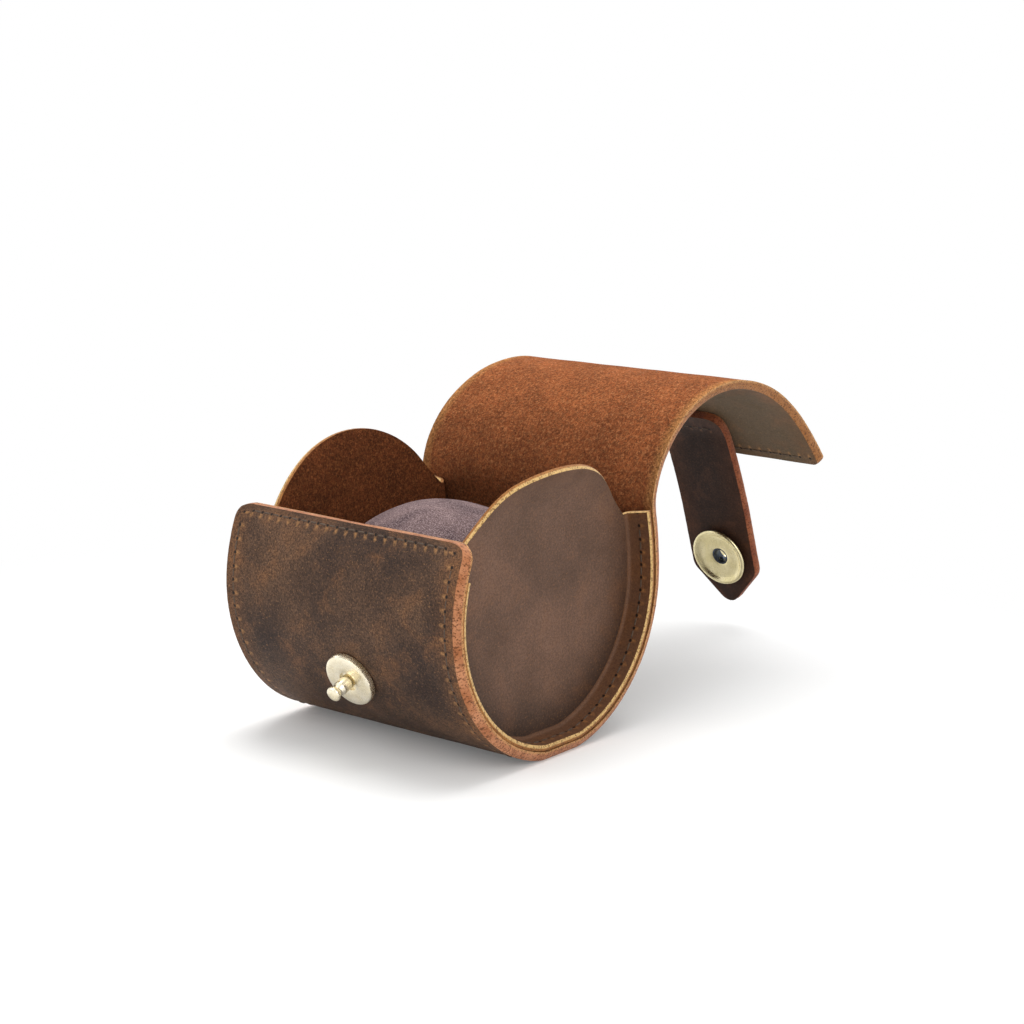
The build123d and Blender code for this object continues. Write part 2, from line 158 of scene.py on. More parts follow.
# Body strip: one strip of oiled, waxed cowhide, 2.4 mm thick, is the front wall, the bottom and the back wall.
# Its grain side is rubbed with wax that dulls and pales where the hide is handled, its flesh side is left as
# suede, and its edges are cut and left raw, slanting in towards the grain side.
case_radius = 40.0
axis_height = 39.4
strip_width = 79.4
strip_thickness = 2.4
flat_blend = 12.0
front_edge_angle = 147.4
back_radius = 80.0
back_top_angle = 12.8
front_corner = 5.5
front_slant = 1.2
lid_slant = 0.7
stitch_pitch = 3.4
side_row = 2.9
front_row = 2.8
lid_row = 2.6
# The needle holes are painted this near black: a painted shade for the depth of each hole.
needle_hole_shade = "#150e0a"
edge_places = 300.0


def blended(tree, share, first, second):
    """A colour between two, each a linear colour or a colour output."""
    return node(tree, "ShaderNodeMix", {0: share, 6: first, 7: second}, data_type="RGBA"), 2


def stitch_marks(tree, place, rows):
    """How much a spot belongs to a needle hole, and to the hide pulled up pale beside one, from 0 to 1. rows are
    (axis that the row runs along, where it is, side its pulled hide lies on, where it starts and ends)."""
    split = node(tree, "ShaderNodeSeparateXYZ", {0: place})
    size = node(tree, "ShaderNodeMath", {0: (split, "X")}, operation="ABSOLUTE")
    marks = [None, None]
    for axis, where, side, low, high in rows:
        run, gap = ((split, "Y"), size) if axis == "along" else ((split, "X"), (split, "Y"))
        beat = node(tree, "ShaderNodeMath", {0: run, 1: stitch_pitch / 2}, operation="PINGPONG")
        off = node(tree, "ShaderNodeMath", {0: gap, 1: where}, operation="SUBTRACT")
        pulled_off = node(tree, "ShaderNodeMath", {0: off, 1: 0.6, 2: -0.5 * side}, operation="MULTIPLY_ADD")
        inside = node(tree, "ShaderNodeMath", {0: run, 1: (low + high) / 2, 2: (high - low) / 2},
                      operation="COMPARE")
        for which, (across, outer, inner) in enumerate([(off, 0.55, 0.3), (pulled_off, 0.72, 0.2)]):
            away = node(tree, "ShaderNodeCombineXYZ", {"X": beat, "Y": across})
            reach = node(tree, "ShaderNodeVectorMath", {0: away}, operation="LENGTH")
            near = node(tree, "ShaderNodeMapRange", {0: (reach, "Value"), 1: outer, 2: inner, 3: 0.0, 4: 1.0})
            there = node(tree, "ShaderNodeMath", {0: near, 1: inside}, operation="MULTIPLY")
            marks[which] = there if marks[which] is None else node(
                tree, "ShaderNodeMath", {0: marks[which], 1: there}, operation="MAXIMUM")
    return marks


def waxed_grain(name, dark, middle, warm, halo, edge_half, warm_share=0.5, roughness=0.6, flecks=0.5, rows=(),
                toned=None, rim=None, sheet=None):
    """Oil-tanned pull-up hide, grain side: soft clouds of wax over brown leather, with dust-fine pale specks.
    flecks is their contrast, rows are stitch rows whose holes pull the hide pale, toned is (from, to, colour)
    along the strip, rim is (from, to, colour) of painted shade across a round piece, darkest at its edge and
    low down, and sheet is (from, colour) for what lies beyond a place across it. The specks are drawn as coarse as
    they need to show."""
    made, tree = material(name)
    place = node(tree, "ShaderNodeUVMap", uv_map="mm")
    split = node(tree, "ShaderNodeSeparateXYZ", {0: place})
    cloud = node(tree, "ShaderNodeTexNoise", {"Vector": place, "Scale": 1 / 24, "Detail": 3.0, "Roughness": 0.5})
    patch = node(tree, "ShaderNodeTexNoise", {"Vector": place, "Scale": 1 / 11, "Detail": 7.0, "Roughness": 0.68,
                                              "Distortion": 0.4})
    speck = node(tree, "ShaderNodeTexNoise", {"Vector": place, "Scale": 1.8, "Detail": 1.0, "Roughness": 0.6})
    dust = node(tree, "ShaderNodeTexNoise", {"Vector": place, "Scale": 1.6, "Detail": 3.0, "Roughness": 0.8})
    cloud_share = node(tree, "ShaderNodeMapRange", {0: cloud, 1: 0.34, 2: 0.66, 3: 0.0, 4: 1.0})
    ground = blended(tree, cloud_share, linear(dark), linear(middle))
    if toned:
        tone = node(tree, "ShaderNodeMapRange", {0: (split, "Y"), 1: toned[0], 2: toned[1], 3: 0.0, 4: 0.9})
        ground = blended(tree, tone, ground, linear(toned[2]))
    # rim paints shade: the round piece darkens towards its edge, and most on its lower side.
    if rim:
        reach = node(tree, "ShaderNodeVectorMath", {0: place}, operation="LENGTH")
        ring = node(tree, "ShaderNodeMapRange", {0: (reach, "Value"), 1: rim[0], 2: rim[1], 3: 0.0, 4: 0.85})
        low = node(tree, "ShaderNodeMapRange", {0: (split, "Y"), 1: 14.0, 2: -6.0, 3: 0.1, 4: 1.0})
        painted_rim_shade = node(tree, "ShaderNodeMath", {0: ring, 1: low}, operation="MULTIPLY")
        ground = blended(tree, painted_rim_shade, ground, linear(rim[2]))
    if sheet:
        beyond = node(tree, "ShaderNodeMapRange", {0: (split, "X"), 1: sheet[0], 2: sheet[0] + 6, 3: 0.0, 4: 1.0})
        ground = blended(tree, beyond, ground, linear(sheet[1]))
    across = node(tree, "ShaderNodeMath", {0: (split, "X")}, operation="ABSOLUTE")
    near_edge = node(tree, "ShaderNodeMapRange", {0: across, 1: edge_half - 8, 2: edge_half, 3: 0.0, 4: 0.7})
    warm_noise = node(tree, "ShaderNodeMapRange", {0: patch, 1: 0.5, 2: 0.72, 3: 0.0, 4: warm_share})
    warm_edge = node(tree, "ShaderNodeMath", {0: near_edge, 1: patch}, operation="MULTIPLY")
    warm_sum = node(tree, "ShaderNodeMath", {0: warm_noise, 1: warm_edge}, operation="ADD", use_clamp=True)
    rubbed = blended(tree, warm_sum, ground, linear(warm))
    dusty = node(tree, "ShaderNodeMapRange", {0: dust, 1: 0.56, 2: 0.72, 3: 0.0, 4: 0.5})
    powdered = blended(tree, dusty, rubbed, linear(halo))
    grit = node(tree, "ShaderNodeTexVoronoi", {"Vector": place, "Scale": 3.3}, feature="F1")
    both = node(tree, "ShaderNodeMix", {0: 0.35, 2: (grit, "Color"), 3: speck})
    speck_share = node(tree, "ShaderNodeMapRange", {0: both, 1: 0.28, 2: 0.72, 3: 1 - flecks, 4: 1 + 1.1 * flecks})
    if toned:
        calmed = node(tree, "ShaderNodeMath", {0: tone, 1: 0.75}, operation="MULTIPLY")
        speck_share = node(tree, "ShaderNodeMix", {0: calmed, 2: speck_share, 3: 1.0})
    flecked = node(tree, "ShaderNodeVectorMath", {0: powdered, 3: speck_share}, operation="SCALE")
    if rows:
        holes, pulls = stitch_marks(tree, place, rows)
        uneven = node(tree, "ShaderNodeMapRange", {0: dust, 1: 0.4, 2: 0.6, 3: 0.2, 4: 0.85})
        pulled_share = node(tree, "ShaderNodeMath", {0: pulls, 1: uneven}, operation="MULTIPLY")
        pulled_up = blended(tree, pulled_share, flecked, linear(halo))
        # Each needle hole is painted near black: painted shade in its depth.
        flecked = blended(tree, holes, pulled_up, linear(needle_hole_shade))
    pores = node(tree, "ShaderNodeTexVoronoi", {"Vector": place, "Scale": 1.25}, feature="F1")
    pebble = node(tree, "ShaderNodeMath", {0: (pores, "Distance"), 1: speck}, operation="ADD")
    relief = node(tree, "ShaderNodeBump", {"Strength": 0.13, "Distance": 0.00012, "Height": pebble})
    sheen_spots = node(tree, "ShaderNodeMapRange", {0: patch, 1: 0.3, 2: 0.7, 3: roughness + 0.1,
                                                    4: roughness - 0.1})
    skin = node(tree, "ShaderNodeBsdfPrincipled", {"Base Color": flecked, "Roughness": sheen_spots,
                                                   "IOR": 1.45, "Normal": relief, "Specular IOR Level": 0.26})
    node(tree, "ShaderNodeOutputMaterial", {"Surface": skin})
    return made


def split_suede(name, dark, middle, bright, fade=None, frayed=None):
    """Flesh side of hide: loose fibre bundles that lie in all directions and catch the light in small tufts.
    fade is (mm along the strip where it is darkest, mm where it is at its full colour): a painted shade. frayed is
    (half the strip's width, colour of the loose fibre beside its cut edges)."""
    made, tree = material(name)
    place = node(tree, "ShaderNodeUVMap", uv_map="mm")
    split = node(tree, "ShaderNodeSeparateXYZ", {0: place})
    nap = node(tree, "ShaderNodeTexNoise", {"Vector": place, "Scale": 1 / 12, "Detail": 5.0, "Roughness": 0.6})
    tuft = node(tree, "ShaderNodeTexNoise", {"Vector": place, "Scale": 1.1, "Detail": 4.0, "Roughness": 0.7,
                                             "Distortion": 1.2})
    fibre = node(tree, "ShaderNodeTexNoise", {"Vector": place, "Scale": 2.2, "Detail": 2.0, "Roughness": 0.6,
                                              "Distortion": 2.0})
    bundle = node(tree, "ShaderNodeTexVoronoi", {"Vector": place, "Scale": 2.6}, feature="F1")
    nap_share = node(tree, "ShaderNodeMapRange", {0: nap, 1: 0.3, 2: 0.7, 3: 0.15, 4: 1.0})
    ground = blended(tree, nap_share, linear(dark), linear(middle))
    tuft_share = node(tree, "ShaderNodeMapRange", {0: tuft, 1: 0.46, 2: 0.76, 3: 0.0, 4: 0.6})
    lit_tufts = blended(tree, tuft_share, ground, linear(bright))
    if frayed:
        across = node(tree, "ShaderNodeMath", {0: (split, "X")}, operation="ABSOLUTE")
        near_edge = node(tree, "ShaderNodeMapRange", {0: across, 1: frayed[0] - 3.5, 2: frayed[0], 3: 0.0, 4: 1.6})
        loose = node(tree, "ShaderNodeMath", {0: near_edge, 1: tuft}, operation="MULTIPLY", use_clamp=True)
        lit_tufts = blended(tree, loose, lit_tufts, linear(frayed[1]))
    strewn = node(tree, "ShaderNodeMix", {0: 0.45, 2: (bundle, "Color"), 3: fibre})
    fibre_share = node(tree, "ShaderNodeMapRange", {0: strewn, 1: 0.3, 2: 0.7, 3: 0.5, 4: 1.5})
    # fade paints shade: the suede is darker up to its first place along the strip.
    if fade:
        painted_shade_share = node(tree, "ShaderNodeMapRange", {0: (split, "Y"), 1: fade[0], 2: fade[1], 3: 0.5, 4: 1.05})
        fibre_share = node(tree, "ShaderNodeMath", {0: fibre_share, 1: painted_shade_share}, operation="MULTIPLY")
    flecked = node(tree, "ShaderNodeVectorMath", {0: lit_tufts, 3: fibre_share}, operation="SCALE")
    height = node(tree, "ShaderNodeMath", {0: tuft, 1: fibre}, operation="ADD")
    relief = node(tree, "ShaderNodeBump", {"Strength": 0.7, "Distance": 0.0005, "Height": height})
    cloth = node(tree, "ShaderNodeBsdfPrincipled", {"Base Color": flecked, "Roughness": 0.95, "Normal": relief,
                                                    "Specular IOR Level": 0.12, "Sheen Weight": 0.2,
                                                    "Sheen Roughness": 0.5, "Sheen Tint": linear(bright)})
    node(tree, "ShaderNodeOutputMaterial", {"Surface": cloth})
    return made


def cut_edge(name, dark, middle, pale, lip, thickness, lip_at=(0.18, 0.45), toned=None):
    """Raw cut edge of hide: packed fibre ends, pale with dark pits, and a bright lip of loose fibre that starts
    and is full at lip_at, shares of the thickness. toned is (from, to, colour) along the strip."""
    made, tree = material(name)
    place = node(tree, "ShaderNodeUVMap", uv_map="mm")
    split = node(tree, "ShaderNodeSeparateXYZ", {0: place})
    pits = node(tree, "ShaderNodeTexNoise", {"Vector": place, "Scale": 2.0, "Detail": 3.0, "Roughness": 0.75})
    drift = node(tree, "ShaderNodeTexNoise", {"Vector": place, "Scale": 1 / 6, "Detail": 2.0})
    drift_share = node(tree, "ShaderNodeMapRange", {0: drift, 1: 0.35, 2: 0.65, 3: 0.0, 4: 1.0})
    ground = blended(tree, drift_share, linear(middle), linear(pale))
    if toned:
        tone = node(tree, "ShaderNodeMapRange", {0: (split, "X"), 1: edge_places + toned[0],
                                                 2: edge_places + toned[1], 3: 0.0, 4: 0.75})
        ground = blended(tree, tone, ground, linear(toned[2]))
    lip_share = node(tree, "ShaderNodeMapRange", {0: (split, "Y"), 1: thickness * lip_at[0],
                                                  2: thickness * lip_at[1], 3: 0.0, 4: 0.9})
    lipped = blended(tree, lip_share, ground, linear(lip))
    fibre_ends = node(tree, "ShaderNodeTexVoronoi", {"Vector": place, "Scale": 2.8}, feature="F1")
    mottle = node(tree, "ShaderNodeMix", {0: 0.5, 2: (fibre_ends, "Color"), 3: pits})
    pit_share = node(tree, "ShaderNodeMapRange", {0: mottle, 1: 0.5, 2: 0.32, 3: 0.0, 4: 0.8})
    pitted = blended(tree, pit_share, lipped, linear(dark))
    relief = node(tree, "ShaderNodeBump", {"Strength": 0.7, "Distance": 0.0004, "Height": pits})
    fibre = node(tree, "ShaderNodeBsdfPrincipled", {"Base Color": pitted, "Roughness": 0.9, "Normal": relief,
                                                    "Specular IOR Level": 0.2, "Sheen Weight": 0.15})
    node(tree, "ShaderNodeOutputMaterial", {"Surface": fibre})
    return made


class Station:
    """A place along a strip: side-view point of its middle, heading and distance from its start, in mm."""

    def __init__(self, y, z, heading, along):
        self.y, self.z, self.heading, self.along = y, z, heading, along

    def point(self, x, out):
        """A point x to the right and out towards the flesh side."""
        return Vector((x, self.y - sin(self.heading) * out, self.z + cos(self.heading) * out))

    def ahead(self, run, turn=0.0):
        """The station run mm further on, along an arc that turns by turn."""
        chord = run if abs(turn) < 1e-9 else run * sin(turn / 2) / (turn / 2)
        toward = self.heading + turn / 2
        return Station(self.y + chord * cos(toward), self.z + chord * sin(toward), self.heading + turn,
                       self.along + run)


def arc_stations(start, length, turn, step):
    """Stations along an arc from a station, its start left out."""
    count = max(1, round(length / step))
    return [start.ahead(length * index / count, turn * index / count) for index in range(1, count + 1)]


def body_stations(inset, step=0.9, front=front_edge_angle, back=back_top_angle):
    """The body's side view, inset mm from its outside, from the front edge to the top of the back wall."""
    span = sqrt((case_radius - flat_blend) ** 2 - (axis_height - flat_blend) ** 2)
    low_turn = acos((axis_height - flat_blend) / (case_radius - flat_blend))
    radius = case_radius - inset
    blend = flat_blend - inset
    first = radians(front)
    first_turn = 1.5 * pi - first - low_turn
    found = [Station(radius * cos(first), axis_height + radius * sin(first), first + pi / 2, 0.0)]
    back_turn = radians(back)
    for length, turn in [(radius * first_turn, first_turn), (blend * low_turn, low_turn), (2 * span, 0.0),
                         (blend * low_turn, low_turn), (radius * (pi / 2 - low_turn), pi / 2 - low_turn),
                         ((back_radius - inset) * back_turn, back_turn)]:
        found += arc_stations(found[-1], length, turn, step)
    return found


GRAIN, FLESH, EDGE = 0, 1, 2
edge_roundness = (0.125, 0.025, 0.0, 0.021, 0.108)


def hide_mesh(name, along, across, point, materials, thickness, present=None, place=None, closed=False,
              joined=(), ragged=0.07):
    """A sheet of hide on a lattice. point(row, column, out) is the place out mm towards the flesh side of its
    middle, in mm. It has a raw cut edge wherever cells end, except at the borders named in joined."""
    levels = [(k / 4 - 0.5) * thickness for k in range(5)]
    rows, columns = len(along) - 1, len(across) - 1
    cells = [(r, c) for r in range(rows) for c in range(columns) if present is None or present(r, c)]
    there = set(cells)
    walls = []
    inward = {}

    def key(r, c):
        return (r % rows if closed else r, c)

    def middle(r, c):
        return point(key(r, c)[0], c, 0.0)

    for r, c in cells:
        centre = (middle(r, c) + middle(r, c + 1) + middle(r + 1, c + 1) + middle(r + 1, c)) / 4
        for beyond, a, b, border in [((r - 1, c), (r, c), (r, c + 1), "first"),
                                     ((r, c + 1), (r, c + 1), (r + 1, c + 1), "right"),
                                     ((r + 1, c), (r + 1, c + 1), (r + 1, c), "last"),
                                     ((r, c - 1), (r + 1, c), (r, c), "left")]:
            if key(*beyond) in there:
                continue
            outside = not (0 <= beyond[0] < rows and 0 <= beyond[1] < columns)
            if outside and border in joined:
                continue
            walls.append((a, b))
            edge_middle = (middle(*a) + middle(*b)) / 2
            for corner in (key(*a), key(*b)):
                inward.setdefault(corner, Vector((0, 0, 0)))
                inward[corner] += (centre - edge_middle).normalized()
    index_of, points = {}, []

    def vertex(r, c, level):
        r, c = key(r, c)
        if (r, c, level) not in index_of:
            spot = point(r, c, levels[level])
            if (r, c) in inward:
                rough = noise.noise(spot * 1.3 + Vector((0, 0, level * 1.7))) * ragged
                spot = spot + inward[(r, c)].normalized() * (edge_roundness[level] * thickness + rough)
            index_of[(r, c, level)] = len(points)
            points.append(spot)
        return index_of[(r, c, level)]

    def spot_on_hide(r, c, cell):
        return place(r, c, cell) if place else (across[c], along[r])

    r, c = cells[len(cells) // 2]
    flip = (middle(r, c + 1) - middle(r, c)).cross(middle(r + 1, c) - middle(r, c)).dot(
        point(r, c, 1.0) - point(r, c, 0.0)) < 0
    faces, places, kinds = [], [], []

    def face(corners, spots, kind, reverse):
        faces.append([vertex(*corner) for corner in corners][::-1 if reverse else 1])
        places.append(spots[::-1 if reverse else 1])
        kinds.append(kind)

    for r, c in cells:
        ring = [(r, c), (r, c + 1), (r + 1, c + 1), (r + 1, c)]
        spots = [spot_on_hide(*corner, c) for corner in ring]
        face([(*corner, 0) for corner in ring], spots, GRAIN, not flip)
        face([(*corner, 4) for corner in ring], spots, FLESH, flip)
    for a, b in walls:
        run = [edge_places + (along[r] if a[1] == b[1] else across[c]) for r, c in (a, b)]
        for k in range(4):
            face([(*a, k), (*b, k), (*b, k + 1), (*a, k + 1)],
                 [(run[0], levels[k]), (run[1], levels[k]), (run[1], levels[k + 1]), (run[0], levels[k + 1])],
                 EDGE, flip)
    return thin_mesh(name, points, faces, places, kinds, materials)


def thin_mesh(name, points, faces, places, kinds, materials, smooth_angle=38):
    """An object from points in mm. places are the faces' corners on the hide in mm, kinds their materials."""
    mesh = bpy.data.meshes.new(name)
    mesh.from_pydata([tuple(c * MM for c in p) for p in points], [], faces)
    layer = mesh.uv_layers.new(name="mm")
    layer.data.foreach_set("uv", [c for corners in places for corner in corners for c in corner])
    mesh.polygons.foreach_set("material_index", kinds)
    mesh.polygons.foreach_set("use_smooth", [True] * len(faces))
    for made in materials:
        mesh.materials.append(made)
    edit = bmesh.new()
    edit.from_mesh(mesh)
    bmesh.ops.remove_doubles(edit, verts=edit.verts, dist=2e-6)
    bmesh.ops.dissolve_degenerate(edit, edges=edit.edges, dist=1e-7)
    edit.to_mesh(mesh)
    edit.free()
    mesh.set_sharp_from_angle(angle=radians(smooth_angle))
    mesh.update()
    piece = bpy.data.objects.new(name, mesh)
    scene.collection.objects.link(piece)
    return piece


def lattice_columns(half, count):
    """Places across a strip, closer together beside its edges."""
    rim = [0.0, 0.4, 1.0, 1.8]
    inner = [-half + 1.8 + (2 * half - 3.6) * i / (count - 1) for i in range(1, count - 1)]
    return [-half + r for r in rim] + inner + [half - r for r in reversed(rim)]


def strip_mesh(name, stations, outline, thickness, centre_x, materials, joined, columns=54, wavy=0.10,
               present=None, shift=None):
    """A strip of hide along stations. outline gives the half-width and the edge's slant at each station."""
    full = max(half for half, _ in outline)
    across = lattice_columns(full, columns)

    def point(row, column, out):
        half, slant = outline[row]
        x = across[column] / full * (half - slant * (0.5 - out / thickness))
        station = stations[row]
        wave = noise.noise(Vector((across[column] / 11, station.along / 11, 3.3))) * wavy
        spot = station.point(centre_x + x, out + wave)
        return shift(spot, station, x, out) if shift else spot

    return hide_mesh(name, [s.along for s in stations], across, point, materials, thickness, joined=joined,
                     present=present)


def stitch_row(name, holes, thread, radius=0.24, lift=-0.06):
    """Waxed thread that dips into each hole of a row. holes are (place, outward direction), in mm."""
    points, faces = [], []
    sides, steps = 7, 8
    for (start, up), (end, up_after) in zip(holes, holes[1:]):
        run = end - start
        first = len(points)
        for step in range(steps + 1):
            t = 0.13 + 0.74 * step / steps
            outward = (up * (1 - t) + up_after * t).normalized()
            centre = start + run * t + outward * (lift - (radius + lift + 0.2) * ((2 * t - 1) / 0.74) ** 6)
            centre.z = max(centre.z, radius)
            across = run.cross(outward).normalized()
            for side in range(sides):
                turn = 2 * pi * side / sides
                points.append(centre + (across * cos(turn) + outward * sin(turn)) * radius)
        for step in range(steps):
            for side in range(sides):
                a, b = first + step * sides + side, first + step * sides + (side + 1) % sides
                faces.append((a, b, b + sides, a + sides))
        faces.append([first + side for side in range(sides)][::-1])
        faces.append([first + steps * sides + side for side in range(sides)])
    return thin_mesh(name, points, faces, [[(0, 0)] * len(f) for f in faces], [0] * len(faces), [thread])


def every_pitch(low, high):
    """The needle holes' places between two places along a row."""
    return [stitch_pitch * k for k in range(-60, 120) if low <= stitch_pitch * k <= high]


def corner_rows(stations, radius, at_start):
    """Stations with more of them where a corner of radius is rounded, and how far in the edge is at each."""
    anchor = stations[0] if at_start else stations[-1]
    inner = [s for s in stations if abs(s.along - anchor.along) > radius + 0.2]
    beside = inner[0] if at_start else inner[-1]
    turn = (beside.heading - anchor.heading) / (beside.along - anchor.along)
    rows = []
    for step in range(11):
        run = radius * (1 - cos(pi / 2 * step / 10)) * (1 if at_start else -1)
        rows.append(anchor.ahead(run, turn * run))
    joined = rows + inner if at_start else inner + rows[::-1]
    pulled = []
    for station in joined:
        away = min(abs(station.along - anchor.along), radius)
        pulled.append(radius - sqrt(max(0.0, radius ** 2 - (radius - away) ** 2)))
    return joined, pulled


middle_path = body_stations(strip_thickness / 2)
lid_root = middle_path[-1]
lid_heading = radians(82.5) + 2 * pi
lid_section_length = 10.4
lid_end_length = 17.8
lid_turns = [radians(-t) for t in (21.0, 20.0, 18.0, 16.5, 15.0, 13.5, 12.5, 10.5, 10.0)]
lid_path = [Station(lid_root.y, lid_root.z, lid_heading, lid_root.along)]
hinges = []
for number, turn in enumerate(lid_turns):
    hinges.append(lid_path[-1])
    length = lid_section_length if number < len(lid_turns) - 1 else lid_end_length
    lid_path += arc_stations(lid_path[-1], length, turn, lid_section_length / 16)
kink = 3.2


def eased(first, last, step):
    """Stations on a smooth curve that joins two places of a strip."""
    gap = last.along - first.along
    count = round(gap / step)
    found = []
    for index in range(1, count):
        t = index / count
        a, b = 2 * t ** 3 - 3 * t ** 2 + 1, t ** 3 - 2 * t ** 2 + t
        c, d = -2 * t ** 3 + 3 * t ** 2, t ** 3 - t ** 2
        y = a * first.y + b * gap * cos(first.heading) + c * last.y + d * gap * cos(last.heading)
        z = a * first.z + b * gap * sin(first.heading) + c * last.z + d * gap * sin(last.heading)
        found.append(Station(y, z, first.heading + (last.heading - first.heading) * c, first.along + gap * t))
    return found


before = [s for s in middle_path if s.along <= lid_root.along - kink]
after = [s for s in lid_path if s.along >= lid_root.along + kink]
strip_path = before + eased(before[-1], after[0], 0.65) + after
half_strip = strip_width / 2
strip_end = strip_path[-1].along


def stretch(path, low, high):
    return [s for s in path if low - 1e-6 <= s.along <= high + 1e-6]


def seam_near(path, along):
    """Where the station nearest to a place along a strip is."""
    return min(path, key=lambda s: abs(s.along - along)).along


def slant_at(along):
    """How far the cut leans, which is more on the front wall and the bottom than on the lid."""
    share = min(1.0, max(0.0, (along - 105) / 50))
    return front_slant + (lid_slant - front_slant) * share


front_straight = 15.0
front_stand = 0.25
front_cut_slant = 1.2
lid_sag = 2.4
lid_sag_back = 1.7


def settled(spot, station, x, out):
    """The strip as it has settled: its front edge is straighter, with a slanting cut, and the lid's left side has
    sagged and gone back a little."""
    rise = max(0.0, 1 - station.along / front_straight) ** 2
    grainward = Vector((0, sin(station.heading), -cos(station.heading)))
    onward = Vector((0, cos(station.heading), sin(station.heading)))
    lean = front_cut_slant * (0.5 - out / strip_thickness) * max(0.0, 1 - station.along / 2.5)
    spot = spot + grainward * front_stand * rise + onward * lean
    t = (station.along - lid_root.along + 4) / (strip_end - lid_end_length + 1 - lid_root.along)
    if 0 < t < 1:
        sag = sin(pi * t) ** 2 * min(1.0, max(0.0, 0.5 - x / strip_width))
        spot = spot + Vector((0, lid_sag_back * sag, -lid_sag * sag))
    return spot


def on_grain(x, along):
    """A needle hole on the strip's grain side, and the direction out of the hide there."""
    near = min(strip_path, key=lambda s: abs(s.along - along))
    station = near.ahead(along - near.along)
    from_end = min(along, front_corner)
    half = half_strip - (front_corner - sqrt(front_corner ** 2 - (front_corner - from_end) ** 2))
    x *= (half - slant_at(along)) / half_strip
    spots = [settled(station.point(x, out), station, x, -strip_thickness / 2) for out in
             (-strip_thickness / 2, -strip_thickness / 2 - 1)]
    return spots[0], spots[1] - spots[0]


side_hole = half_strip - side_row
end_hole = strip_end - lid_row
sewn_to = lid_root.along - 4.0
body_rows_of_holes = [("along", side_hole, -1, 3.2, sewn_to), ("across", front_row, 1, -37.0, 37.0),
                      ("across", end_hole, -1, -38.0, 38.0)]
wrap_grain = waxed_grain("waxed_cowhide_grain", "#30221c", "#58402f", "#7b4f2b", "#ab7c4e", half_strip, flecks=0.5,
                         rows=body_rows_of_holes, toned=(196, 232, "#62523e"), warm_share=0.55)
# The suede inside the case is painted in shade up to 158 mm along the strip, and reaches its full colour on the lid
# at 205 mm.
wrap_suede = split_suede("cowhide_suede_back", "#6a3419", "#98532d", "#d89460", fade=(158, 205),
                         frayed=(half_strip, "#c08a52"))
wrap_edge = cut_edge("cowhide_cut_edge", "#55301c", "#ab6a42", "#c88a62", "#cf9a62", strip_thickness,
                     toned=(150, 200, "#96632f"))
wrap_finish = [wrap_grain, wrap_suede, wrap_edge]
case_seam = seam_near(before, lid_root.along - 5.2)
body_rows, pulled = corner_rows(stretch(strip_path, 0, case_seam), front_corner, True)
body_outline = [(half_strip - p, slant_at(s.along)) for s, p in zip(body_rows, pulled)]
body_strip = strip_mesh("body_strip", body_rows, body_outline, strip_thickness, 0.0, wrap_finish, ("last",),
                        shift=settled)
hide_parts("body_wrap")
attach(body_strip, "case")

# Thread: waxed linen, sewn by hand with a saddle stitch. The wax dulls it to a greyish brown with a cold sheen.
linen, tree = material("waxed_linen_thread")
lay = node(tree, "ShaderNodeTexCoord")
twist = node(tree, "ShaderNodeTexNoise", {"Vector": (lay, "Object"), "Scale": 2600.0, "Detail": 2.0})
shade = blended(tree, twist, linear("#2a1f18"), linear("#6b5848"))
strand = node(tree, "ShaderNodeBsdfPrincipled", {"Base Color": shade, "Roughness": 0.6, "Specular IOR Level": 0.3})
node(tree, "ShaderNodeOutputMaterial", {"Surface": strand})


def sewn(name, holes, body):
    thread_row = stitch_row(name, holes, linen)
    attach(thread_row, body)


sewn("front_thread", [on_grain(x, front_row) for x in every_pitch(-35.5, 35.5)], "case")
for side_name, side in (("left", -1), ("right", 1)):
    sewn(f"{side_name}_side_thread", [on_grain(side * side_hole, a) for a in every_pitch(4.5, sewn_to)], "case")

# Lid: the same strip goes on over the back wall. It has no hinge and bends all along; each stretch of hide
# between two stiff places is built as a piece of its own where it lies. Its end has small corners and a row of needle
# holes.
lid_corner = 2.0
seams = [case_seam] + [seam_near(strip_path, h.along + lid_section_length / 2) for h in hinges]
bodies_in_order = ["case"] + [f"lid_{n + 1}" for n in range(len(hinges))]
for number in range(len(hinges)):
    rows = stretch(strip_path, seams[number], seams[number + 1])
    bend_piece = strip_mesh(f"lid_bend_{number + 1}", rows, [(half_strip, slant_at(s.along)) for s in rows],
                            strip_thickness, 0.0, wrap_finish, ("first", "last"), shift=settled)
    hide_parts(f"lid_section_{number + 1}")
    rows[0].point(0, 0) * MM
    rows[-1].point(0, 0) * MM
    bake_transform(bend_piece)
end_rows, pulled = corner_rows(stretch(strip_path, seams[-1], strip_end), lid_corner, False)
end_outline = [(half_strip - p, slant_at(s.along)) for s, p in zip(end_rows, pulled)]
lid_end = strip_mesh("lid_end", end_rows, end_outline, strip_thickness, 0.0, wrap_finish, ("first",),
                     shift=settled)
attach(lid_end, bodies_in_order[-1])
sewn("lid_end_thread", [on_grain(x, end_hole) for x in every_pitch(-37, 37)], bodies_in_order[-1])

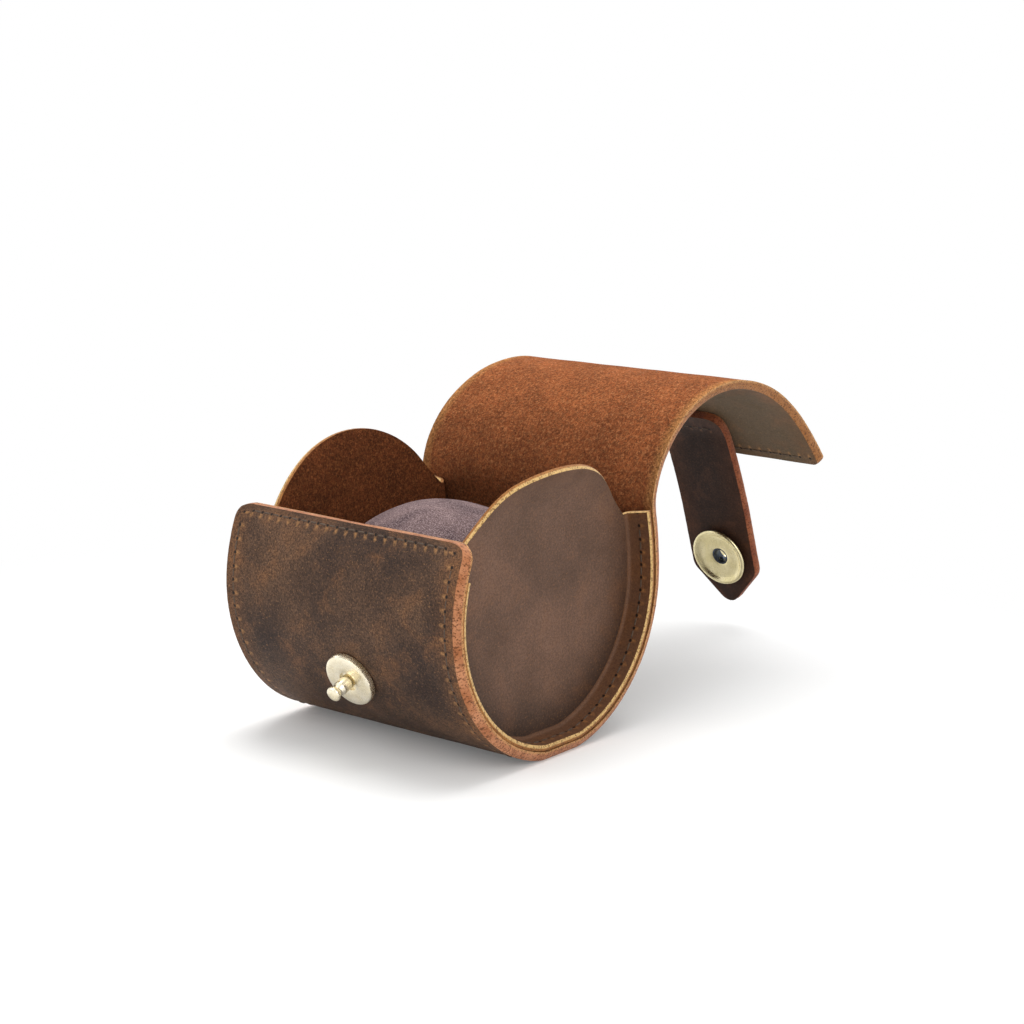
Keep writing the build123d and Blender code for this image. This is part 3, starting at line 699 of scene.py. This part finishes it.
# End caps: cups of thinner hide, moulded wet over a form so that a flange turns outward from a flat disc.
# The flange is sewn inside the strip's edge. Over the roll the disc stands up free, and has curled outward.
cap_thickness = 1.5
cap_middle = 31.25
cap_rim = 39.1
cap_inset = strip_thickness + 0.1 + cap_thickness / 2
crease = 1.6
flange_front_angle = 161.3
flange_back_angle = 11.5
disc_radii = {"left": 34.5, "right": 35.3}
disc_bends = {"left": 92.0, "right": 25.0}
disc_trims = {"left": 0.0, "right": 2.4}
trim_span = radians(50)
back_end_rise = 1.4
free_edge_rise = (back_radius - strip_thickness) * sin(radians(flange_back_angle))
disc_shares = [0.0, 0.07, 0.16, 0.26, 0.36, 0.46, 0.55, 0.63, 0.7, 0.76, 0.81, 0.855, 0.895, 0.93, 0.96, 0.985, 1.0]
crease_turns = [radians(t) for t in (15, 30, 45, 60, 75, 90)]
flange_places = [33.6, 34.4, 35.2, 36.0, 36.8, 37.5, 38.1, 38.7, cap_rim]
flange_sheet = 500.0
flange_width = crease * pi / 2 + cap_rim - cap_middle - crease
flange_hole = flange_width - 3.2
# The cap's grain is painted darker towards the disc's crease and on its lower side: painted shade.
cap_grain = waxed_grain("waxed_cowhide_cap_grain", "#543e31", "#6c5040", "#744b2d", "#9c6a3e", 52.0, warm_share=0.35,
                        roughness=0.55, flecks=0.2, rim=(25, 36, "#33261f"),
                        rows=[("along", flange_sheet + flange_hole, 1, 3.0, 400.0)],
                        sheet=(flange_sheet, "#5a3f2f"))
cap_suede = split_suede("cap_suede_back", "#42200f", "#69371d", "#a5683c")
cap_edge = cut_edge("cap_cut_edge", "#6a4220", "#9c6434", "#b0783f", "#e2bc7c", cap_thickness,
                    lip_at=(0.12, -0.08))


def end_cap(name, side, disc_radius, bend, trim):
    flange = body_stations(cap_inset, 1.0, flange_front_angle, flange_back_angle)
    rim = []
    for station in flange:
        start = station.point(0, crease)
        rim.append((hypot(start.y, start.z - axis_height), atan2(start.z - axis_height, start.y)))
    back, front = rim[-1], rim[0]
    sweep = (front[1] - back[1]) % (2 * pi)
    free_rows = 84
    settle = radians(15)
    for index in range(1, free_rows):
        turn = sweep * index / free_rows
        near_back = max(0.0, 1 - turn / settle) ** 2
        near_front = max(0.0, 1 - (sweep - turn) / settle) ** 2
        radius = disc_radius + (back[0] - disc_radius) * near_back + (front[0] - disc_radius) * near_front
        radius -= trim * sin(pi * min(1.0, (sweep - turn) / trim_span)) ** 2
        rim.append((radius, back[1] + turn))
    along = [0.0]
    for row in range(len(rim)):
        following = rim[(row + 1) % len(rim)]
        step = abs((following[1] - rim[row][1] + pi) % (2 * pi) - pi)
        along.append(along[-1] + step * disc_radius)
    disc_columns = len(disc_shares) - 1
    crease_length = [crease * t for t in crease_turns]
    beyond = crease_length + [crease_length[-1] + x - cap_middle - crease for x in flange_places]
    across = [s * disc_radius for s in disc_shares] + [disc_radius + b for b in beyond]
    seed = 11.0 * side

    def point(row, column, out):
        radius, angle = rim[row]
        if column > disc_columns:
            index = column - disc_columns - 1
            turn = crease_turns[min(index, len(crease_turns) - 1)]
            x = cap_middle + crease * (1 - cos(turn)) - out * cos(turn)
            if index >= len(crease_turns):
                x = flange_places[index - len(crease_turns)]
            to_back = flange[-1].along - flange[row].along
            rise = back_end_rise * (x - cap_middle) / (cap_rim - cap_middle) * max(0.0, 1 - to_back / 7)
            return flange[row].ahead(rise).point(side * x, crease * (1 - sin(turn)) - out * sin(turn))
        reach = radius * disc_shares[column]
        y, rise_here = reach * cos(angle), reach * sin(angle)
        lean = max(0.0, rise_here - free_edge_rise) / bend
        stood = min(rise_here, free_edge_rise) + bend * sin(lean)
        bulge = noise.noise(Vector((y / 17, rise_here / 17, seed))) * 0.28 * (1 - disc_shares[column] ** 4)
        x = cap_middle + bend * (1 - cos(lean)) + bulge - out * cos(lean)
        return Vector((side * x, y, axis_height + stood + out * sin(lean)))

    def place(row, column, cell):
        if cell >= disc_columns:
            width = 0.0 if column == disc_columns else beyond[column - disc_columns - 1]
            station = flange[min(row, len(flange) - 1)]
            return flange_sheet + width, station.along
        radius, angle = rim[row % len(rim)]
        return radius * disc_shares[column] * cos(angle), radius * disc_shares[column] * sin(angle)

    def present(row, column):
        return column < disc_columns or row < len(flange) - 1

    cap = hide_mesh(name, along, across, point, [cap_grain, cap_suede, cap_edge], cap_thickness, present=present,
                    place=place, closed=True, joined=("left",), ragged=0.05)
    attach(cap, "case")
    holes = []
    for run in every_pitch(3.0, flange[-1].along - 3.0):
        near = min(flange, key=lambda s: abs(s.along - run))
        x = side * (cap_middle + crease + flange_hole - crease * pi / 2)
        spots = [near.ahead(run - near.along).point(x, out) for out in (cap_thickness / 2, cap_thickness / 2 + 1)]
        holes.append((spots[0], spots[1] - spots[0]))
    sewn(f"{name}_thread", holes, "case")
    return cap


for label, side in (("left", -1), ("right", 1)):
    cap = end_cap(f"{label}_cap", side, disc_radii[label], disc_bends[label], disc_trims[label])
    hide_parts(f"{label}_end_cap")

# Strap: a strip of nearly black waxed hide, sewn on under the lid's end by one row across it. It hangs down
# from there when the lid is open and ends in a rounded point.
closing_strap_width = 23.0
closing_strap_thickness = 2.3
fastening_x = 1.5
strap_root_from_lid_end = 10.0
tab_length = 8.0
tab_corner = 4.0
strap_section_length = 13.6
strap_bends = [(-65.5, -2.0), (-67.5, -4.0)]
tip_heading = -72.5
tip_length = 30.4
tip_taper = 11.0
tip_round = 4.5
knob_from_hinge = 14.4
lock_hole = 4.9
strap_row = -2.6
strap_grain = waxed_grain("waxed_cowhide_strap_grain", "#281812", "#332017", "#5a3218", "#6a472c", 11.5, flecks=0.25,
                          warm_share=0.6, roughness=0.65, rows=[("across", strap_row, 1, -9.0, 9.0)])
strap_suede = split_suede("strap_suede_back", "#4c2814", "#7a4424", "#a2683a")
strap_edge = cut_edge("strap_cut_edge", "#522814", "#83452a", "#9a5836", "#a8663c", closing_strap_thickness)
strap_finish = [strap_grain, strap_suede, strap_edge]
root_place = strip_end - strap_root_from_lid_end
last_hinge = hinges[-1]
under_lid = -(strip_thickness / 2 + 0.1 + closing_strap_thickness / 2)


def on_lid_end(distance):
    """The lid's middle at a distance above its end."""
    run = lid_end_length - distance
    return last_hinge.ahead(run, lid_turns[-1] * run / lid_end_length)


tab_rows = []
for index in range(13):
    above = strap_root_from_lid_end + tab_length * (1 - index / 12)
    base = on_lid_end(above)
    spot = base.point(0, under_lid)
    tab_rows.append(Station(spot.y, spot.z, base.heading, tab_length * (index / 12 - 1)))
strap_hinges = [Station(tab_rows[-1].y, tab_rows[-1].z, radians(strap_bends[0][0]) + 2 * pi, 0.0)]
strap_line = []
for heading, turn in strap_bends:
    start = strap_hinges[-1]
    start.heading = radians(heading) + 2 * pi
    strap_line += arc_stations(start, strap_section_length, radians(turn), 0.68)
    strap_hinges.append(Station(strap_line[-1].y, strap_line[-1].z, radians(tip_heading) + 2 * pi,
                                strap_line[-1].along))
tip_start = strap_hinges[-1]
apex = tip_length + tip_round * 0.35
taper_slope = closing_strap_width / 2 / (apex - tip_length + tip_taper)
taper_pull = tip_round * sqrt(1 + taper_slope ** 2)
tip_end = apex - taper_pull / taper_slope + tip_round


def tip_half(run):
    """Half the strap's width at a distance from the last hinge, with its shoulders and point rounded."""
    widest = 0.0
    for step in range(61):
        near = run + tip_round * (step / 30 - 1)
        inner = min(closing_strap_width / 2 - tip_round, (apex - near) * taper_slope - taper_pull)
        if inner >= -1e-9:
            widest = max(widest, inner + sqrt(max(0.0, tip_round ** 2 - (run - near) ** 2)))
    return widest


tip_runs = [0.68 * i for i in range(1, 38)]
tip_runs = [r for r in tip_runs if r < tip_end - 4.6] + [
    tip_end - tip_round * (1 - sin(pi / 2 * k / 12)) for k in range(13)]
strap_line += [tip_start.ahead(run) for run in tip_runs]
bend_start = [s for s in tab_rows if s.along <= -3.0]
bend_end = [s for s in strap_line if s.along >= 3.0]
strap_line = bend_start + eased(bend_start[-1], bend_end[0], 0.6) + bend_end
tip_along = tip_start.along
knob_place = tip_start.ahead(knob_from_hinge)


def strap_half(along):
    if along < tab_corner - tab_length:
        return closing_strap_width / 2 - tab_corner + sqrt(tab_corner ** 2 - (tab_corner - tab_length - along) ** 2)
    return closing_strap_width / 2 if along < tip_along + 10 else tip_half(along - tip_along)


def strap_piece(name, low, high, joined, with_hole=False):
    rows = stretch(strap_line, low, high)
    across = lattice_columns(closing_strap_width / 2, 30)

    def in_hole(row, column):
        run = (rows[row].along + rows[row + 1].along) / 2 - knob_place.along
        return hypot(run, (across[column] + across[column + 1]) / 2) < lock_hole + 0.35

    outline = [(strap_half(s.along), 0.25 * min(1.0, strap_half(s.along) / 3)) for s in rows]
    return strip_mesh(name, rows, outline, closing_strap_thickness, fastening_x, strap_finish, joined, columns=30,
                      present=(lambda r, c: not in_hole(r, c)) if with_hole else None, wavy=0.05), rows


strap_seams = [seam_near(strap_line, p) for p in (-4.0, 6.8, 20.4, tip_along + 5.0)]
tab, _ = strap_piece("strap_root", -tab_length, strap_seams[0], ("last",))
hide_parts("strap_tab")
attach(tab, bodies_in_order[-1])
row_place = min(strap_line, key=lambda s: abs(s.along - strap_row))
row_spots = [[row_place.point(fastening_x + x, out) for out in
              (-closing_strap_thickness / 2, -closing_strap_thickness / 2 - 1)] for x in every_pitch(-9, 9)]
sewn("strap_thread", [(a, b - a) for a, b in row_spots], bodies_in_order[-1])
for number in range(3):
    bend_piece, rows = strap_piece(f"strap_bend_{number + 1}", strap_seams[number], strap_seams[number + 1],
                                   ("first", "last"))
    if number < 2:
        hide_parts(f"strap_section_{number + 1}")
    rows[0].point(fastening_x, 0) * MM
    rows[-1].point(fastening_x, 0) * MM
    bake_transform(bend_piece)
strap_point, _ = strap_piece("strap_point", strap_seams[3], 1e9, ("first",), with_hole=True)
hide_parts("strap_tip")
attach(strap_point, "strap_end")

# Stud: a turned brass plate with a reeded rim, riveted to the front wall, and a pin with a waist that the lock's
# balls close on. The brass is pale, tumbled and not polished, so its faces are satin.
stud_seat = Vector((1.5, -35.878, 21.369))
stud_axis = Vector((0, -0.92718, -0.37461)).normalized()
plate_outline = [(1.51, 0), (6.9, 0), (7.2, 0.15), (7.2, 1.5), (7.05, 1.72), (6.75, 1.86), (5.6, 1.95), (4.2, 2.0),
                 (2.95, 2.0), (2.66, 1.9), (2.6, 1.7), (2.6, 1.2), (1.51, 1.2)]
reeded_band = (2, 3, 0.16)
pin_outline = [(0, -4.65), (1.45, -4.65), (1.45, 1.25), (1.85, 1.25), (1.85, 4.7), (1.8, 5.0), (1.66, 5.3),
               (1.5, 5.62), (1.42, 5.9), (1.42, 6.3), (1.54, 6.6), (1.8, 6.84), (1.96, 7.04), (2.0, 7.3),
               (1.93, 7.62), (1.7, 7.9), (1.3, 8.12), (0.7, 8.26), (0, 8.3)]


def tumbled_metal(name, bright, shaded, roughness):
    """Turned and tumbled metal: a satin face with fine random scratches and slightly toned patches."""
    made, tree = material(name)
    place = node(tree, "ShaderNodeTexCoord")
    patches = node(tree, "ShaderNodeTexNoise", {"Vector": (place, "Object"), "Scale": 330.0, "Detail": 4.0})
    grit = node(tree, "ShaderNodeTexNoise", {"Vector": (place, "Object"), "Scale": 4200.0, "Detail": 2.0})
    tone = node(tree, "ShaderNodeMapRange", {0: patches, 1: 0.38, 2: 0.64, 3: 0.0, 4: 1.0})
    colour = blended(tree, tone, linear(shaded), linear(bright))
    satin = node(tree, "ShaderNodeMapRange", {0: grit, 1: 0.3, 2: 0.7, 3: roughness - 0.08, 4: roughness + 0.1})
    relief = node(tree, "ShaderNodeBump", {"Strength": 0.2, "Distance": 0.00003, "Height": grit})
    metal = node(tree, "ShaderNodeBsdfPrincipled", {"Base Color": colour, "Metallic": 1.0, "Roughness": satin,
                                                    "Normal": relief})
    node(tree, "ShaderNodeOutputMaterial", {"Surface": metal})
    return made


def turned_mesh(name, outline, seat, axis, finish, parts=96, closed=False, teeth=(0, -1, 0)):
    """A turned piece. outline is (radius, height along axis from seat), teeth is (first and last point, depth)."""
    side = Vector((1, 0, 0))
    other = axis.cross(side)
    points = []
    for index, (radius, height) in enumerate(outline):
        for step in range(parts):
            turn = 2 * pi * step / parts
            reach = radius - (teeth[2] if teeth[0] <= index <= teeth[1] and step % 2 else 0)
            points.append(seat + axis * height + (side * cos(turn) + other * sin(turn)) * reach)
    faces = []
    for ring in range(len(outline) if closed else len(outline) - 1):
        low, high = ring * parts, (ring + 1) % len(outline) * parts
        for step in range(parts):
            after = (step + 1) % parts
            faces.append((low + step, low + after, high + after, high + step))
    return thin_mesh(name, points, faces, [[(0, 0)] * 4] * len(faces), [0] * len(faces), [finish])


plate_brass = tumbled_metal("tumbled_pale_brass", "#f5ecd6", "#ece0c2", 0.24)
plate = turned_mesh("reeded_plate", plate_outline, stud_seat, stud_axis, plate_brass, parts=240, closed=True,
                    teeth=reeded_band)
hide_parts("stud_plate")
pin = turned_mesh("waisted_pin", pin_outline, stud_seat, stud_axis, plate_brass, parts=64)
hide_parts("stud_pin")
for brass_piece in (plate, pin):
    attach(brass_piece, "case")

# Lock: a dished brass knob whose sleeve goes through the strap. Its bore shows the tube, the balls and the spring,
# which are hardened steel, dark from its heat.
lock_seat = Vector((1.5, 121.96, 23.066))
lock_axis = Vector((0, -0.95372, -0.30071)).normalized()
knob_outline = [(2.56, 1.3), (4.3, 1.3), (4.3, 3.0), (5.2, 2.96), (7.0, 3.0), (8.1, 3.2), (8.62, 3.46), (8.8, 3.84),
                (8.74, 4.14), (8.5, 4.36), (8.2, 4.42), (7.86, 4.36), (7.5, 4.14), (7.15, 3.86), (6.7, 3.66),
                (6.0, 3.54), (5.0, 3.48), (3.6, 3.44), (3.1, 3.4), (2.8, 3.32), (2.6, 3.26), (3.6, 3.22), (3.6, 1.7),
                (2.56, 1.7)]
knob_brass = tumbled_metal("satin_knob_brass", "#e8dcb2", "#ddd0a0", 0.27)
dark_steel = tumbled_metal("heat_darkened_steel", "#565d6b", "#343a46", 0.4)
knob = turned_mesh("dished_knob", knob_outline, lock_seat, lock_axis, knob_brass, parts=120, closed=True)
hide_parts("knob")
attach(knob, "knob")
for node_name, finish in [("stud_nut", plate_brass), ("lock_base", knob_brass), ("clamp_ring", knob_brass),
                          ("ball_tube", dark_steel), ("lock_balls", dark_steel), ("lock_spring", dark_steel)]:
    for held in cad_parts[node_name].material_slots:
        held.material = finish

# Watch pillow: foam in a cover of brushed suede, crowned in the middle, with its round ends sewn in. It lies
# a little aslant in the roll between the two discs, and a watch strap closes round it.
pillow_tilt = radians(3.5)
pillow_shift = (1.0, 0.0, 0.5)
pillow_room = 30.2
gather_count = 30
pillow_half = 30.1
pillow_radius = 28.0
pillow_end_radius = 16.5
pillow_centre_z = strip_thickness + 0.3 + pillow_radius


def brushed_suede(name, dark, middle, bright):
    """Brushed microfibre suede: short nap that lies in clouds, lighter where it is stroked up, with fine flecks."""
    made, tree = material(name)
    place = node(tree, "ShaderNodeTexCoord")
    nap = node(tree, "ShaderNodeTexNoise", {"Vector": (place, "Object"), "Scale": 90.0, "Detail": 4.0,
                                            "Roughness": 0.6, "Distortion": 0.8})
    fleck = node(tree, "ShaderNodeTexNoise", {"Vector": (place, "Object"), "Scale": 2900.0, "Detail": 1.0,
                                              "Roughness": 0.7})
    nap_share = node(tree, "ShaderNodeMapRange", {0: nap, 1: 0.38, 2: 0.62, 3: 0.0, 4: 1.0})
    ground = blended(tree, nap_share, linear(dark), linear(middle))
    fleck_share = node(tree, "ShaderNodeMapRange", {0: fleck, 1: 0.5, 2: 0.68, 3: 0.0, 4: 0.6})
    lit_flecks = blended(tree, fleck_share, ground, linear(bright))
    pepper = node(tree, "ShaderNodeMapRange", {0: fleck, 1: 0.34, 2: 0.5, 3: 0.6, 4: 1.0})
    flecked = node(tree, "ShaderNodeVectorMath", {0: lit_flecks, 3: pepper}, operation="SCALE")
    relief = node(tree, "ShaderNodeBump", {"Strength": 0.6, "Distance": 0.0003, "Height": fleck})
    cloth = node(tree, "ShaderNodeBsdfPrincipled", {"Base Color": flecked, "Roughness": 0.96, "Normal": relief,
                                                    "Specular IOR Level": 0.1, "Sheen Weight": 0.3,
                                                    "Sheen Roughness": 0.4, "Sheen Tint": linear(bright)})
    node(tree, "ShaderNodeOutputMaterial", {"Surface": cloth})
    return made


pillow_cloth = brushed_suede("brushed_suede_cover", "#58474a", "#7a6565", "#b8a3a1")
crown_rise = pillow_radius - pillow_end_radius
crown_bend = (pillow_half ** 2 + crown_rise ** 2) / (2 * crown_rise)
points, faces = [], []
around = 240
profile = []
for index in range(-60, 61):
    x = pillow_half * index / 60
    profile.append((x, pillow_radius - crown_bend + sqrt(crown_bend ** 2 - x ** 2)))
end_face = [(28.4, 0.0), (28.6, 4.0), (28.9, 8.0), (29.3, 11.5), (29.7, 14.2), (29.9, 15.6)]
profile = [(-x, r) for x, r in end_face] + profile + end_face[::-1]


def on_pillow(x, radius, turn):
    """A spot on the cover: gathered into its end seams, dented like foam, and sewn shut along the underside."""
    from_seam = max(0.0, pillow_half - abs(x))
    gather = exp(-from_seam / 2.6) * 0.45 * (0.5 + 0.5 * sin(gather_count * turn + 2.5 * sin(3 * turn)))
    groove = 0.5 * exp(-(from_seam / 0.7) ** 2) if radius > pillow_end_radius - 0.4 else 0.0
    under = abs((turn + pi / 2 + 0.35 + pi) % (2 * pi) - pi) * radius
    closing_seam = 0.4 * exp(-(under / 0.8) ** 2)
    direction = Vector((0, cos(turn), sin(turn)))
    dent = noise.noise(Vector((x / 15, cos(turn) * 1.6, sin(turn) * 1.6 + 7.7))) * 0.45 * min(1.0, radius / 12)
    reach = radius - min(radius, gather + groove + closing_seam * (radius > 15)) + dent
    up = reach * direction.z
    across = x * cos(pillow_tilt) - up * sin(pillow_tilt) + pillow_shift[0]
    rise = up * cos(pillow_tilt) + x * sin(pillow_tilt) + pillow_shift[2]
    return (min(pillow_room, max(-pillow_room, across)), reach * direction.y, pillow_centre_z + rise)


for x, radius in profile:
    for step in range(around):
        points.append(on_pillow(x, radius, 2 * pi * step / around))
for ring in range(len(profile) - 1):
    for step in range(around):
        a, b = ring * around + step, ring * around + (step + 1) % around
        faces.append((a, b, b + around, a + around))
pillow = thin_mesh("watch_pillow", points, faces, [[(0, 0)] * 4] * len(faces), [0] * len(faces), [pillow_cloth])
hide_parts("pillow_cover", "pillow_foam")
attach(pillow, "pillow")
